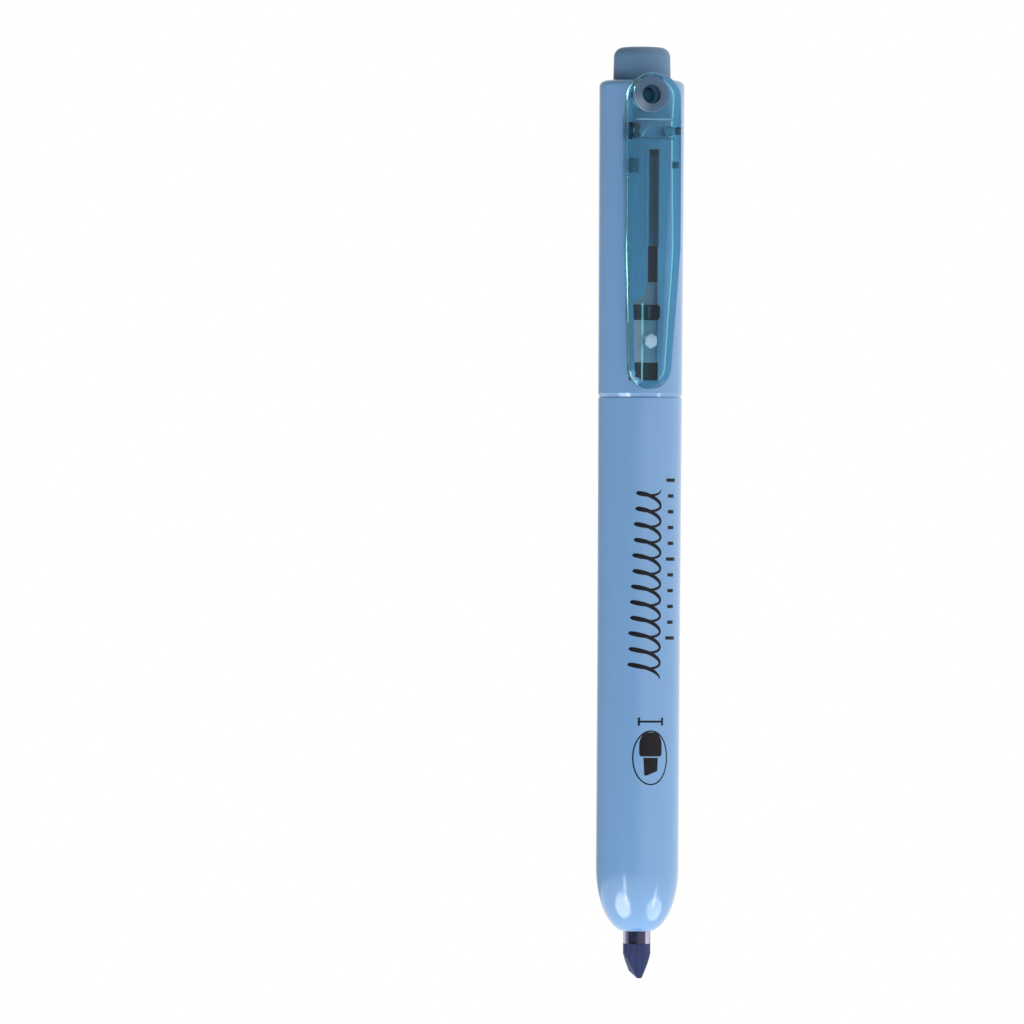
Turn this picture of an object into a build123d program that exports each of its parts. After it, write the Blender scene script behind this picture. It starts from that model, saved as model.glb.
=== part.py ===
from build123d import *
import math
import os

# Retractable highlighter, in millimetres. The pen's axis is Z: z = 0 is the plane of the nose's mouth,
# the nib points down, the button is on top and the pocket clip faces -Y. The nib is out at rest.

# Barrel
NOSE_LENGTH = 9.6
NOSE_SEMI_Z = 9.75
NOSE_SEMI_R = 4.68
GRIP_R = 6.2
GRIP_TOP_Z = 40.0
SEAM_R = 6.3
SEAM_Z = 80.0
RIM_R = 6.4
RIM_Z = 127.5
RIM_ROUND = 1.0
SEAM_CHAMFER = 0.12
SEAM_BEVEL_R = 0.2
SEAM_BEVEL_Z = 0.6
MAIN_BORE_R = 5.05
SPIGOT_R = 5.55
SPIGOT_LOW_Z = 71.0
FIT = 0.05
BUTTON_HOLE_R = 4.45
TOP_WALL_Z = 125.9

# Catch opening in the barrel wall: a window, a flare and a long slot that share one straight edge
WINDOW_LOW_Z = 82.5
WINDOW_TOP_Z = 93.75
WINDOW_LEFT_X = -2.95
WINDOW_RIGHT_X = 1.25
SLOT_LEFT_X = -0.35
SLOT_RIGHT_X = 1.2
FLARE_TOP_Z = 97.0
FLARE_MID_X = -1.2
FLARE_MID_Z = 95.0
SLOT_TOP_Z = 117.0
SLOT_RAIL_W = 0.35
SLOT_RAIL_LOW_Z = 102.5
SLOT_RAIL_Y = -6.75
TRACK_R = 5.75
TRACK_TOP_Z = 103.0

# Travel of the button, slider and refill
TRAVEL = 11.0

# Nose seal, which closes over the nib when it is drawn in
PASSAGE_R = 2.2
LIP_ROOM_R = 3.1
LIP_LOW_Z = 1.0
LIP_TIP_Z = 1.3
LIP_TIP_R = 2.65
LIP_ROOT_R = 2.95
SLIT_HALF_W = 0.25
SLIT_TOP_Z = 3.3
SEAL_THROAT_R = 2.45
SEAL_SEAT_Z = 3.6
SEAL_SEAT_R = 4.0
SEAL_TOP_Z = 4.8
RETAINER_TOP_Z = 5.6
RETAINER_BORE_R = 2.5
CARTRIDGE_R = 4.45
CARTRIDGE_TOP_Z = 12.0
CARTRIDGE_GROOVE_Z = 8.6
CARTRIDGE_RING_R = 0.38
GROOVE_PLAY = 0.08
RING_PROUD = 0.03
WIPER_RING_R = 0.44
WIPER_PLAY = 0.07
WIPER_ROOM_R = 3.1
WIPER_ROOM_H = 1.0
SPRING_SEAT_R = 4.9
SPRING_SEAT_TOP_Z = 12.8

# Refill: nib, clear holder, ink tube, filler
NIB_TIP_Z = -7.05
NIB_TAPER_Z = -3.45
NIB_R = 2.05
NIB_BLADE = 0.35
NIB_SLANT = 1.0
STEM_R = 1.3
STEM_TOP_Z = 36.0
HOLDER_END_Z = -1.95
HOLDER_R = 2.05
HOLDER_BORE_R = 1.35
FLANGE_Z = 23.0
FLANGE_R = 3.85
FLANGE_H = 1.5
TUBE_R = 3.9
TUBE_BORE_R = 3.2
TUBE_TOP_Z = 76.0
HOLDER_TOP_Z = 31.0
FILLER_LOW_Z = 31.5
FILLER_TOP_Z = 73.0
WRAP_T = 0.12
PLUG_GAP = 0.5
PLUG_HEAD_H = 1.0
SPRING_R = 2.9
SPRING_WIRE_R = 0.25
SPRING_TURNS = 8

# Slider and button
SLIDER_LOW_Z = 70.0
SOCKET_WEB = 3.0
SLIDER_SOCKET_R = 4.55
SLIDER_R = 4.1
WAIST_R = 3.4
SLIDER_BORE_R = 2.6
SLIDER_BORE_TOP_Z = 111.1
STUB_TOP_Z = 112.6
PAD_R = 5.6
PAD_OVERLAP_X = 0.35
PAD_PLAY_X = 0.15
PAD_LOW_Z = 85.2
PAD_TOP_Z = 91.5
RAMP_R = 5.0
RAMP_LOW_Z = 93.85
RAMP_TOP_Z = 97.2
KEY_LOW_Z = 84.5
KEY_TOP_Z = 90.0
KEY_HALF_W = 0.7
KEY_R = 4.85
KEY_PLAY = 0.12
GUIDE_R = 4.62
GUIDE_W = 0.6
GUIDE_ROOT = 0.15
GUIDE_TOP_Z = 101.4
BUTTON_R = 4.3
BUTTON_TOP_R = 4.2
BUTTON_TOP_Z = 132.6
BUTTON_ROUND = 1.5
BUTTON_CROWN = 0.25
BUTTON_TAPER_Z = 128.0
BUTTON_BORE_R = 3.3
BUTTON_LOW_Z = 102.6
BUTTON_FLANGE_R = 4.75
BUTTON_FLANGE_TOP_Z = 105.2
BUSH_LOW_Z = 117.0
BUSH_R = 5.0
BUSH_PLAY = 0.08
DAMPER_LOW_Z = 116.3
DAMPER_PLAY = 0.12

# Pocket clip
CLIP_W = 8.3
CLIP_TAIL_W = 6.5
CLIP_TAIL_X = -0.3  # the tail leans a little to the left
CLIP_WALL = 0.9
CLIP_PLATE = 1.0
CLIP_HEAD_Z = 124.3
CLIP_TAPER_Z = 102.0
CLIP_TAIL_Z = 84.5
CLIP_TAIL_R = 3.35
CLIP_DEPTH = 12.0
CLIP_OUTER_HEAD_Y = -9.1
CLIP_OUTER_MID_Y = -9.7
CLIP_OUTER_TAIL_Y = -8.9
CLIP_ROUND = 0.85
HEAD_WALL_Y = -7.6
HEAD_WALL_Z = 127.2
HINGE_WALL_Y = -5.75
HINGE_WALL_LOW_Z = 117.4
HINGE_WALL_TOP_Z = 120.9
ARM_WALL_Y = -7.0
ARM_WALL_Z = 98.0
PIVOT_Y = -7.6
PIVOT_Z = 119.7
TRUNNION_R = 0.6
TRUNNION_NEAR_X = 2.05
LUG_R = 0.75
LUG_NEAR_X = 1.9
LUG_FAR_X = 3.1
RECESS_HALF_W = 3.0
RECESS_FLOOR_Y = -8.9
RECESS_LOW_Z = 118.4
RECESS_TOP_Z = 121.5
ISLAND_R = 1.9
BOSS_X = -0.6
BOSS_Z = 125.1
BOSS_R = 2.7
BOSS_ROUND = 0.2
BOSS_HOLE_R = 1.45
BOSS_FACE_Y = -9.85
BOSS_POCKET_NEAR_R = 1.7
BOSS_POCKET_FAR_R = 2.3
BOSS_ROOF_Y = -8.9
RIB_HALF_W = 1.15
RIB_LOW_Y = -7.2
RIB_ROOT_Y = -8.8
RIB_LOW_Z = 81.9
RIB_TOP_Z = 94.0
BUMP_Z = 88.35
BUMP_R = 1.05
BUMP_H = 0.5
BUMP_TAPER = 20
TOOTH_LOW_Z = 91.7
TOOTH_TOP_Z = 93.6
TOOTH_TIP_Y = -5.8
TOOTH_ROOT_Y = -8.8
TOOTH_HALF_W = 0.65
SNAP_Y = (-8.8, -7.7)
LEFT_SNAP_X = (-3.7, -2.3)
LEFT_SNAP_Z = (113.2, 115.8)
RIGHT_SNAP_X = (2.9, 3.7)
RIGHT_SNAP_Z = (114.0, 115.2)
SPRING_PAD_Y = -6.55
SPRING_PAD_R = 2.3
SPRING_PAD_HOLE_R = 1.2
CLIP_SPRING_R = 1.95
CLIP_SPRING_WIRE_R = 0.17
CLIP_SPRING_TURNS = 4

CUT = 0.5  # how far a cutting tool runs past the face that it cuts


def rod(radius, low, high):
    """A cylinder on the pen's axis between two heights."""
    return Pos(0, 0, low) * Cylinder(radius, high - low, align=(Align.CENTER, Align.CENTER, Align.MIN))


def tube(outer, inner, low, high):
    """A sleeve on the pen's axis."""
    return rod(outer, low, high) - rod(inner, low - CUT, high + CUT)


def block(x, y, z):
    """A box between two limits on each axis."""
    middle = Pos((x[0] + x[1]) / 2, (y[0] + y[1]) / 2, (z[0] + z[1]) / 2)
    return middle * Box(x[1] - x[0], y[1] - y[0], z[1] - z[0])


def stud(radius, near_y, far_y, z, x=0.0):
    """A cylinder that points along Y, away from the barrel, between two distances."""
    disc = Plane.XZ.offset(-near_y) * Pos(x, z) * Circle(radius)
    return extrude(disc, near_y - far_y)


def lathe(*lines):
    """The solid of revolution of a closed outline of (radius, height) lines."""
    return revolve(make_face(Plane.XZ * Curve(lines)), Axis.Z)


def coil(radius, wire_radius, length, turns):
    """An open coil spring along +Z from the origin, with round wire."""
    pitch = (length - 2 * wire_radius) / turns
    path = Pos(0, 0, wire_radius) * Helix(pitch, pitch * turns, radius)
    section = Plane(origin=path @ 0, z_dir=path % 0) * Circle(wire_radius)
    return sweep(section, path)


def ring(major, minor, z):
    """An O-ring on the pen's axis."""
    return Pos(0, 0, z) * Torus(major, minor)


# ---------------------------------------------------------------- barrel


def front_barrel():
    sweep = math.degrees(math.asin(NOSE_LENGTH / NOSE_SEMI_Z))
    centre = (GRIP_R - NOSE_SEMI_R, NOSE_LENGTH)
    nose = EllipticalCenterArc(centre, NOSE_SEMI_R, NOSE_SEMI_Z, start_angle=-sweep, arc_size=sweep)
    rest = Polyline(
        nose @ 1,
        (GRIP_R, GRIP_TOP_Z),
        (SEAM_R, SEAM_Z - SEAM_CHAMFER),
        (SEAM_R - SEAM_CHAMFER, SEAM_Z),
        (0, SEAM_Z),
        (0, 0),
        nose @ 0,
    )
    body = lathe(nose, rest)
    body -= rod(PASSAGE_R, -CUT, LIP_LOW_Z + CUT)
    body -= rod(LIP_ROOM_R, LIP_LOW_Z, SEAL_SEAT_Z + CUT)
    body -= rod(SEAL_SEAT_R, SEAL_SEAT_Z, SEAL_TOP_Z + CUT)
    body -= rod(CARTRIDGE_R + FIT, SEAL_TOP_Z, CARTRIDGE_TOP_Z + CUT)
    body -= rod(MAIN_BORE_R, CARTRIDGE_TOP_Z, SPIGOT_LOW_Z)
    body -= rod(SPIGOT_R + FIT, SPIGOT_LOW_Z - FIT, SEAM_Z + CUT)
    return body


def catch_opening():
    """The tool that cuts the window, flare and slot through the -Y side of the barrel."""
    flare = ThreePointArc(
        (SLOT_LEFT_X, FLARE_TOP_Z),
        (FLARE_MID_X, FLARE_MID_Z),
        (WINDOW_LEFT_X, WINDOW_TOP_Z),
    )
    rest = Polyline(
        flare @ 1,
        (WINDOW_LEFT_X, WINDOW_LOW_Z),
        (WINDOW_RIGHT_X, WINDOW_LOW_Z),
        (WINDOW_RIGHT_X, WINDOW_TOP_Z),
        (SLOT_RIGHT_X, FLARE_TOP_Z),
        (SLOT_RIGHT_X, SLOT_TOP_Z),
        (SLOT_LEFT_X, SLOT_TOP_Z),
        flare @ 0,
    )
    return extrude(make_face(Plane.XZ * Curve([flare, rest])), RIM_R + 2 * CUT)


def catch_track(radius, play, low, high):
    """A sector behind the window: the catch pad or ramp, or with play the groove that they run in."""
    reach = PAD_OVERLAP_X + play
    sides = (WINDOW_LEFT_X - reach, WINDOW_RIGHT_X + reach)
    return rod(radius, low, high) & block(sides, (-radius, 0), (low, high))


def hinge_lug(side):
    """One of the two ears that carry the clip, with its trunnion hole."""
    foot_y = -MAIN_BORE_R - CUT
    lug = Plane.YZ.offset(LUG_NEAR_X) * Pos(PIVOT_Y, PIVOT_Z) * Circle(LUG_R)
    ear = extrude(lug, LUG_FAR_X - LUG_NEAR_X)
    ear += block((LUG_NEAR_X, LUG_FAR_X), (PIVOT_Y, foot_y), (PIVOT_Z - LUG_R, PIVOT_Z + LUG_R))
    ear -= rod(MAIN_BORE_R, PIVOT_Z - LUG_R - CUT, PIVOT_Z + LUG_R + CUT)
    hole = Plane.YZ.offset(LUG_NEAR_X - CUT) * Pos(PIVOT_Y, PIVOT_Z) * Circle(TRUNNION_R + FIT)
    ear -= extrude(hole, LUG_FAR_X - LUG_NEAR_X + 2 * CUT)
    return ear if side > 0 else mirror(ear, Plane.YZ)


def key_guides():
    """Four ribs in the bore, grown into its wall: a pair each side, which stop the slider turning."""
    guides = []
    for x_side in (-1, 1):
        for y_side in (-1, 1):
            near = KEY_HALF_W + KEY_PLAY
            rib = block(
                sorted((x_side * GUIDE_R, x_side * (MAIN_BORE_R + GUIDE_ROOT))),
                sorted((y_side * near, y_side * (near + GUIDE_W))),
                (WINDOW_LOW_Z, GUIDE_TOP_Z),
            )
            guides.append(rib)
    return guides


def rear_barrel():
    outline = Polyline(
        (0, SPIGOT_LOW_Z),
        (SPIGOT_R, SPIGOT_LOW_Z),
        (SPIGOT_R, SEAM_Z),
        (SEAM_R - SEAM_BEVEL_R, SEAM_Z),
        (SEAM_R, SEAM_Z + SEAM_BEVEL_Z),
        (RIM_R, RIM_Z),
        (0, RIM_Z),
        close=True,
    )
    body = lathe(outline)
    body = fillet(body.edges().sort_by(Axis.Z)[-1], RIM_ROUND)
    for side in (-1, 1):
        body += hinge_lug(side)
    body += stud(SPRING_PAD_R, -MAIN_BORE_R - CUT, SPRING_PAD_Y, BOSS_Z, BOSS_X)
    for x in (SLOT_LEFT_X - SLOT_RAIL_W, SLOT_RIGHT_X):
        body += block((x, x + SLOT_RAIL_W), (SLOT_RAIL_Y, -MAIN_BORE_R - CUT), (SLOT_RAIL_LOW_Z, SLOT_TOP_Z))
    body -= rod(MAIN_BORE_R, SPIGOT_LOW_Z - CUT, TOP_WALL_Z)
    body -= rod(BUTTON_HOLE_R, TOP_WALL_Z - CUT, RIM_Z + CUT)
    body -= catch_track(TRACK_R, PAD_PLAY_X, SPIGOT_LOW_Z - CUT, TRACK_TOP_Z)
    body -= stud(SPRING_PAD_HOLE_R, 0, -RIM_R - CUT, BOSS_Z, BOSS_X)
    body += key_guides()
    return body - catch_opening()


def guide_bush():
    return tube(BUSH_R, BUTTON_R + BUSH_PLAY, BUSH_LOW_Z, TOP_WALL_Z)


def stop_damper():
    return tube(BUSH_R, BUTTON_R + DAMPER_PLAY, DAMPER_LOW_Z, BUSH_LOW_Z)


# ---------------------------------------------------------------- nose seal


def slit_seal():
    """Rubber slit valve: a flange, and two lips that the nib holder keeps open."""
    outline = Polyline(
        (PASSAGE_R, LIP_TIP_Z),
        (LIP_TIP_R, LIP_TIP_Z),
        (LIP_ROOT_R, SEAL_SEAT_Z),
        (SEAL_SEAT_R - FIT, SEAL_SEAT_Z),
        (SEAL_SEAT_R - FIT, SEAL_TOP_Z),
        (SEAL_THROAT_R, SEAL_TOP_Z),
        close=True,
    )
    slit = block((-RIM_R, RIM_R), (-SLIT_HALF_W, SLIT_HALF_W), (0, SLIT_TOP_Z))
    return lathe(outline) - slit


def seal_retainer():
    return tube(CARTRIDGE_R, RETAINER_BORE_R, SEAL_TOP_Z, RETAINER_TOP_Z)


def seal_cartridge():
    """Sleeve that closes the air-tight room around the drawn-in nib."""
    groove_half = CARTRIDGE_RING_R + GROOVE_PLAY
    body = tube(CARTRIDGE_R, PASSAGE_R, RETAINER_TOP_Z, CARTRIDGE_TOP_Z)
    body -= tube(
        CARTRIDGE_R + CUT,
        CARTRIDGE_R - 2 * CARTRIDGE_RING_R,
        CARTRIDGE_GROOVE_Z - groove_half,
        CARTRIDGE_GROOVE_Z + groove_half,
    )
    body -= rod(WIPER_ROOM_R, CARTRIDGE_TOP_Z - WIPER_ROOM_H, CARTRIDGE_TOP_Z + CUT)
    return body


def cartridge_o_ring():
    return ring(CARTRIDGE_R - CARTRIDGE_RING_R + RING_PROUD, CARTRIDGE_RING_R, CARTRIDGE_GROOVE_Z)


def neck_wiper_ring():
    middle = CARTRIDGE_TOP_Z - WIPER_ROOM_H / 2
    return ring(HOLDER_R + WIPER_PLAY + WIPER_RING_R, WIPER_RING_R, middle)


def spring_seat():
    return tube(SPRING_SEAT_R, PASSAGE_R, CARTRIDGE_TOP_Z, SPRING_SEAT_TOP_Z)


def return_spring():
    spring = coil(SPRING_R, SPRING_WIRE_R, FLANGE_Z - SPRING_SEAT_TOP_Z, SPRING_TURNS)
    return Pos(0, 0, SPRING_SEAT_TOP_Z) * spring


# ---------------------------------------------------------------- refill


def nib():
    """Felt chisel nib: a stem, and a round head with two bevels and a slanted writing edge."""
    head = rod(NIB_R, NIB_TIP_Z, HOLDER_END_Z)
    bevels = Polyline(
        (-NIB_R - CUT, HOLDER_END_Z),
        (NIB_R + CUT, HOLDER_END_Z),
        (NIB_R + CUT, NIB_TAPER_Z),
        (NIB_R, NIB_TAPER_Z),
        (NIB_BLADE, NIB_TIP_Z),
        (-NIB_BLADE, NIB_TIP_Z),
        (-NIB_R, NIB_TAPER_Z),
        (-NIB_R - CUT, NIB_TAPER_Z),
        close=True,
    )
    head &= extrude(make_face(Plane.XZ * bevels), 2 * NIB_R, both=True)
    slant = Polyline(
        (-NIB_R, NIB_TIP_Z),
        (NIB_R, NIB_TIP_Z + NIB_SLANT),
        (NIB_R, NIB_TIP_Z - CUT),
        (-NIB_R, NIB_TIP_Z - CUT),
        close=True,
    )
    head -= extrude(make_face(Plane.YZ * slant), 2 * NIB_R, both=True)
    return head + rod(STEM_R, HOLDER_END_Z, STEM_TOP_Z)


def nib_holder():
    body = rod(HOLDER_R, HOLDER_END_Z, FLANGE_Z)
    body += rod(FLANGE_R, FLANGE_Z, FLANGE_Z + FLANGE_H)
    body += rod(TUBE_BORE_R, FLANGE_Z + FLANGE_H, HOLDER_TOP_Z)
    return body - rod(HOLDER_BORE_R, HOLDER_END_Z - CUT, HOLDER_TOP_Z + CUT)


def ink_tube():
    return tube(TUBE_R, TUBE_BORE_R, FLANGE_Z + FLANGE_H, TUBE_TOP_Z)


def filler_wrap():
    return tube(TUBE_BORE_R, TUBE_BORE_R - WRAP_T, FILLER_LOW_Z, FILLER_TOP_Z)


def ink_filler():
    fibre = rod(TUBE_BORE_R - WRAP_T, FILLER_LOW_Z, FILLER_TOP_Z)
    return fibre - rod(STEM_R, FILLER_LOW_Z - CUT, STEM_TOP_Z)


def tube_end_plug():
    shank = rod(TUBE_BORE_R, FILLER_TOP_Z + PLUG_GAP, TUBE_TOP_Z)
    return shank + rod(TUBE_R, TUBE_TOP_Z, TUBE_TOP_Z + PLUG_HEAD_H)


# ---------------------------------------------------------------- slider and button


def slider():
    """Carriage for the refill: two side keys, and the catch pad and ramp behind the window."""
    socket_top = TUBE_TOP_Z + PLUG_HEAD_H
    body = rod(SLIDER_SOCKET_R, SLIDER_LOW_Z, socket_top + SOCKET_WEB)
    body += rod(WAIST_R, socket_top + SOCKET_WEB, BUTTON_LOW_Z)
    body += rod(SLIDER_R, PAD_LOW_Z, PAD_TOP_Z)
    body += rod(BUTTON_BORE_R, BUTTON_LOW_Z, STUB_TOP_Z)
    body += rod(SLIDER_R, RAMP_LOW_Z, RAMP_TOP_Z)
    body += catch_track(PAD_R, 0, PAD_LOW_Z, PAD_TOP_Z)
    body += catch_track(RAMP_R, 0, RAMP_LOW_Z, RAMP_TOP_Z)
    body += block((-KEY_R, KEY_R), (-KEY_HALF_W, KEY_HALF_W), (KEY_LOW_Z, KEY_TOP_Z))
    body -= rod(TUBE_R, SLIDER_LOW_Z - CUT, socket_top)
    body -= rod(SLIDER_BORE_R, socket_top - CUT, SLIDER_BORE_TOP_Z)
    return body


def button_cap():
    """Push button: a long skirt with a stop flange, and a rounded, slightly crowned top."""
    top = ThreePointArc(
        (0, BUTTON_TOP_Z),
        (BUTTON_TOP_R / 2, BUTTON_TOP_Z - BUTTON_CROWN / 4),
        (BUTTON_TOP_R, BUTTON_TOP_Z - BUTTON_CROWN),
    )
    rest = Polyline(
        top @ 1,
        (BUTTON_R, BUTTON_TAPER_Z),
        (BUTTON_R, BUTTON_FLANGE_TOP_Z),
        (BUTTON_FLANGE_R, BUTTON_FLANGE_TOP_Z),
        (BUTTON_FLANGE_R, BUTTON_LOW_Z),
        (0, BUTTON_LOW_Z),
        top @ 0,
    )
    outline = make_face(Curve([top, rest]))
    corner = outline.vertices().sort_by_distance(top @ 1)[0]
    outline = Plane.XZ * fillet(corner, BUTTON_ROUND)
    return revolve(outline, Axis.Z) - rod(BUTTON_BORE_R, BUTTON_LOW_Z - CUT, RIM_Z)


# ---------------------------------------------------------------- pocket clip


def clip_outline(inset):
    """The clip's front outline: round head, parallel sides, a taper and an elliptical tail."""
    half = CLIP_W / 2 - inset
    tail_half = CLIP_TAIL_W / 2 - inset
    head = ThreePointArc((half, CLIP_HEAD_Z), (0, CLIP_HEAD_Z + half), (-half, CLIP_HEAD_Z))
    tail_left = CLIP_TAIL_X - tail_half
    tail_right = CLIP_TAIL_X + tail_half
    left = Polyline((-half, CLIP_HEAD_Z), (-half, CLIP_TAPER_Z), (tail_left, CLIP_TAIL_Z))
    tail = EllipticalCenterArc(
        (CLIP_TAIL_X, CLIP_TAIL_Z), tail_half, CLIP_TAIL_R - inset, start_angle=180, arc_size=180
    )
    right = Polyline((tail_right, CLIP_TAIL_Z), (half, CLIP_TAPER_Z), (half, CLIP_HEAD_Z))
    return make_face(Plane.XZ * Curve([head, left, tail, right]))


def clip_side(depth):
    """The clip's side outline, its crowned outer face moved towards the barrel by depth."""
    high = CLIP_HEAD_Z + CLIP_W
    low = CLIP_TAIL_Z - CLIP_W
    outer = ThreePointArc(
        (CLIP_OUTER_HEAD_Y + depth, high),
        (CLIP_OUTER_MID_Y + depth, (high + low) / 2),
        (CLIP_OUTER_TAIL_Y + depth, low),
    )
    inner = Polyline(
        outer @ 1,
        (ARM_WALL_Y, low),
        (ARM_WALL_Y, ARM_WALL_Z),
        (HINGE_WALL_Y, HINGE_WALL_LOW_Z),
        (HINGE_WALL_Y, HINGE_WALL_TOP_Z),
        (HEAD_WALL_Y, HEAD_WALL_Z),
        (HEAD_WALL_Y, high),
        outer @ 0,
    )
    return make_face(Plane.YZ * Curve([outer, inner]))


def clip_shell():
    """The moulded channel: a crowned plate with a wall all round its edge."""
    body = extrude(clip_outline(0), CLIP_DEPTH) & extrude(clip_side(0), CLIP_W, both=True)
    face = body.faces().sort_by(Axis.Y)[0]
    body = fillet(face.outer_wire().edges(), CLIP_ROUND)
    room = extrude(clip_outline(CLIP_WALL), CLIP_DEPTH) & extrude(clip_side(CLIP_PLATE), CLIP_W, both=True)
    sweep_out = extrude(clip_outline(CLIP_WALL), -CLIP_PLATE - HINGE_WALL_Y)
    return body - room - sweep_out


def hinge_recess():
    """The shallow pocket in the clip's face over the hinge, with a half-round island in it."""
    depth = (BOSS_FACE_Y - CUT, RECESS_FLOOR_Y)
    pocket = block((-RECESS_HALF_W, RECESS_HALF_W), depth, (RECESS_LOW_Z, RECESS_TOP_Z))
    island = stud(ISLAND_R, RECESS_FLOOR_Y + CUT, BOSS_FACE_Y - 2 * CUT, RECESS_LOW_Z)
    return pocket - island


def clip_boss():
    """The ring on the head: a hole through it, and round that a pocket that holds the clip spring."""
    body = stud(BOSS_R, HEAD_WALL_Y, BOSS_FACE_Y, BOSS_Z, BOSS_X)
    face = body.faces().sort_by(Axis.Y)[0]
    return fillet(face.edges(), BOSS_ROUND)


def clip_boss_hollows():
    hole = stud(BOSS_HOLE_R, HEAD_WALL_Y + CUT, BOSS_FACE_Y - CUT, BOSS_Z, BOSS_X)
    pocket = stud(BOSS_POCKET_FAR_R, HEAD_WALL_Y + CUT, BOSS_ROOF_Y, BOSS_Z, BOSS_X)
    core = stud(BOSS_POCKET_NEAR_R, HEAD_WALL_Y + 2 * CUT, BOSS_ROOF_Y - CUT, BOSS_Z, BOSS_X)
    return hole + (pocket - core)


def clip_rib():
    """The rib under the tail, with the grip bump that presses on a pocket."""
    sides = (CLIP_TAIL_X - RIB_HALF_W, CLIP_TAIL_X + RIB_HALF_W)
    rib = block(sides, (RIB_ROOT_Y, RIB_LOW_Y), (RIB_LOW_Z, RIB_TOP_Z))
    foot = Plane(origin=(CLIP_TAIL_X, RIB_LOW_Y, BUMP_Z), x_dir=(1, 0, 0), z_dir=(0, 1, 0))
    return rib + extrude(foot * RegularPolygon(BUMP_R, 6), BUMP_H, taper=BUMP_TAPER)


def pocket_clip():
    body = clip_shell() - hinge_recess() + clip_boss() - clip_boss_hollows() + clip_rib()
    tooth_x = (SLOT_LEFT_X + SLOT_RIGHT_X) / 2
    tooth_sides = (tooth_x - TOOTH_HALF_W, tooth_x + TOOTH_HALF_W)
    body += block(tooth_sides, (TOOTH_ROOT_Y, TOOTH_TIP_Y), (TOOTH_LOW_Z, TOOTH_TOP_Z))
    body += block(LEFT_SNAP_X, SNAP_Y, LEFT_SNAP_Z)
    body += block(RIGHT_SNAP_X, SNAP_Y, RIGHT_SNAP_Z)
    wall_x = CLIP_W / 2 - CLIP_WALL / 2
    for side in (-1, 1):
        plane = Plane.YZ.offset(side * wall_x)
        pin = extrude(plane * Pos(PIVOT_Y, PIVOT_Z) * Circle(TRUNNION_R), side * (TRUNNION_NEAR_X - wall_x))
        body += pin
    return body


def clip_spring():
    length = SPRING_PAD_Y - BOSS_ROOF_Y
    spring = coil(CLIP_SPRING_R, CLIP_SPRING_WIRE_R, length, CLIP_SPRING_TURNS)
    return Pos(BOSS_X, SPRING_PAD_Y, BOSS_Z) * Rot(90, 0, 0) * spring


PARTS = {
    "front_barrel": front_barrel,
    "rear_barrel": rear_barrel,
    "guide_bush": guide_bush,
    "stop_damper": stop_damper,
    "slit_seal": slit_seal,
    "seal_retainer": seal_retainer,
    "seal_cartridge": seal_cartridge,
    "cartridge_o_ring": cartridge_o_ring,
    "neck_wiper_ring": neck_wiper_ring,
    "spring_seat": spring_seat,
    "return_spring": return_spring,
    "nib": nib,
    "nib_holder": nib_holder,
    "ink_tube": ink_tube,
    "filler_wrap": filler_wrap,
    "ink_filler": ink_filler,
    "tube_end_plug": tube_end_plug,
    "slider": slider,
    "button_cap": button_cap,
    "pocket_clip": pocket_clip,
    "clip_spring": clip_spring,
}

os.makedirs("parts", exist_ok=True)
for name, make in PARTS.items():
    export_step(make(), f"parts/{name}.step")
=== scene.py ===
"""Retractable highlighter: looks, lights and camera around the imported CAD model. Metres, +Z up the pen."""

import math
import random

import bmesh
import bpy
from mathutils import Matrix, Quaternion, Vector


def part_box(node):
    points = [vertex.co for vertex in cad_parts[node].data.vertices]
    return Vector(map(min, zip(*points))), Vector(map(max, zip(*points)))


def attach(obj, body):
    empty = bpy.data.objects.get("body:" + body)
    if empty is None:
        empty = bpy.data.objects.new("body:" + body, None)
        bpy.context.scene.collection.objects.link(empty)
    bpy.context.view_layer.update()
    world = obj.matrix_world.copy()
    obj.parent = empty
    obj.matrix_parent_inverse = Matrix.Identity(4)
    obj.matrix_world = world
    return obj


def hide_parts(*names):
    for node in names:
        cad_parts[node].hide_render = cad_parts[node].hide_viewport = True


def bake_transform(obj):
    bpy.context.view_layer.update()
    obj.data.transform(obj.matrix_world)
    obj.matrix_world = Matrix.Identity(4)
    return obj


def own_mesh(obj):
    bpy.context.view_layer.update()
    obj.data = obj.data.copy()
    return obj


MM = 0.001

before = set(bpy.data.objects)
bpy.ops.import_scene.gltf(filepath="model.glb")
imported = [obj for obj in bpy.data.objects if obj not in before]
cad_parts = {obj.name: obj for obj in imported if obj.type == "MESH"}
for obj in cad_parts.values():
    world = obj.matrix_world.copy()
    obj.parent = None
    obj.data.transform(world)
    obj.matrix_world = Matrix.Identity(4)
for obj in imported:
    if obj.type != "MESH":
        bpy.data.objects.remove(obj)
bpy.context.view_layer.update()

# Places that the CAD parts give
SEAM_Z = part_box("front_barrel")[1].z
SEAM_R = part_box("front_barrel")[1].x
TIP_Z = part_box("nib")[0].z
STEM_TOP_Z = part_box("nib")[1].z
NIB_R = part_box("nib")[1].x
HOLDER_END_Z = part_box("nib_holder")[0].z
SEAL_TIP_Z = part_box("slit_seal")[0].z
SEAL_TOP_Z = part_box("slit_seal")[1].z
RETURN_SPRING_LOW, RETURN_SPRING_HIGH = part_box("return_spring")
CLIP_SPRING_LOW, CLIP_SPRING_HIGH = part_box("clip_spring")
CLIP_FACE_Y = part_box("pocket_clip")[0].y
BOSS_X = (CLIP_SPRING_LOW.x + CLIP_SPRING_HIGH.x) / 2
BOSS_Z = (CLIP_SPRING_LOW.z + CLIP_SPRING_HIGH.z) / 2

# Barrel
GRIP_R = 6.2 * MM
GRIP_TOP_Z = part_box("front_barrel")[0].z + 40 * MM

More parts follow.
